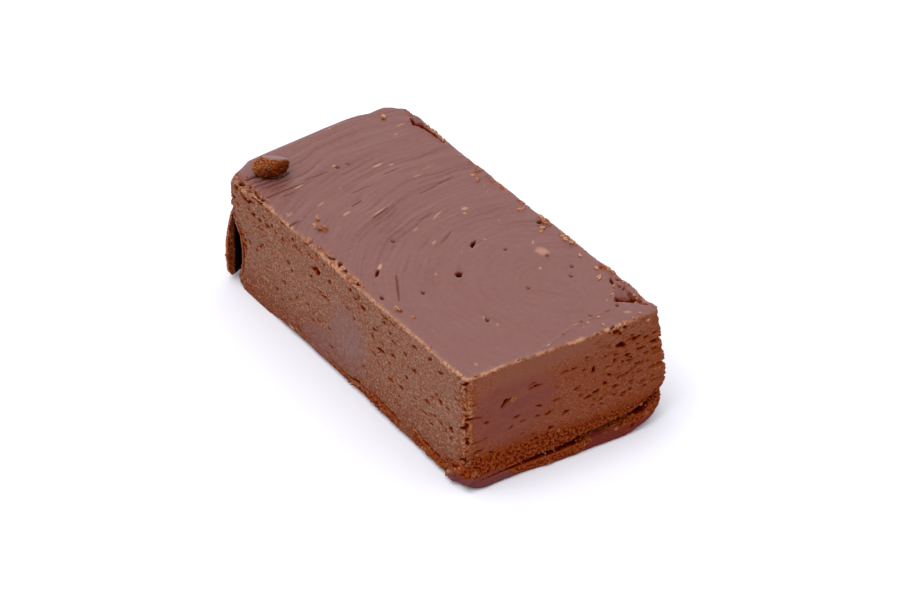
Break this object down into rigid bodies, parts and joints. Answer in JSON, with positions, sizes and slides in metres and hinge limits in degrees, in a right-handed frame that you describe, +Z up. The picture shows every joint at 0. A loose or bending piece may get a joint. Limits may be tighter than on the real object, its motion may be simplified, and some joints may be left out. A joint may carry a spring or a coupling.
{
  "type": "chocolate fudge bar",
  "caption": "Thick cut bar of chocolate fudge with a spread top, crumbly knife-cut sides, a foot lip, a torn corner flap and one large crumb on top.",
  "frame": {"origin": "middle of the footprint, on the surface that the bar stands on", "axes": "+X along the bar towards its short knife cut, the long knife cut faces -Y, +Z up"},
  "size_m": [0.0936, 0.0468, 0.0292],
  "materials": {
    "fudge": null,
    "crumb": null
  },
  "bodies": {
    "root": {"fudge_slab": "fudge", "top_crumb": "crumb"}
  },
  "joints": []
}
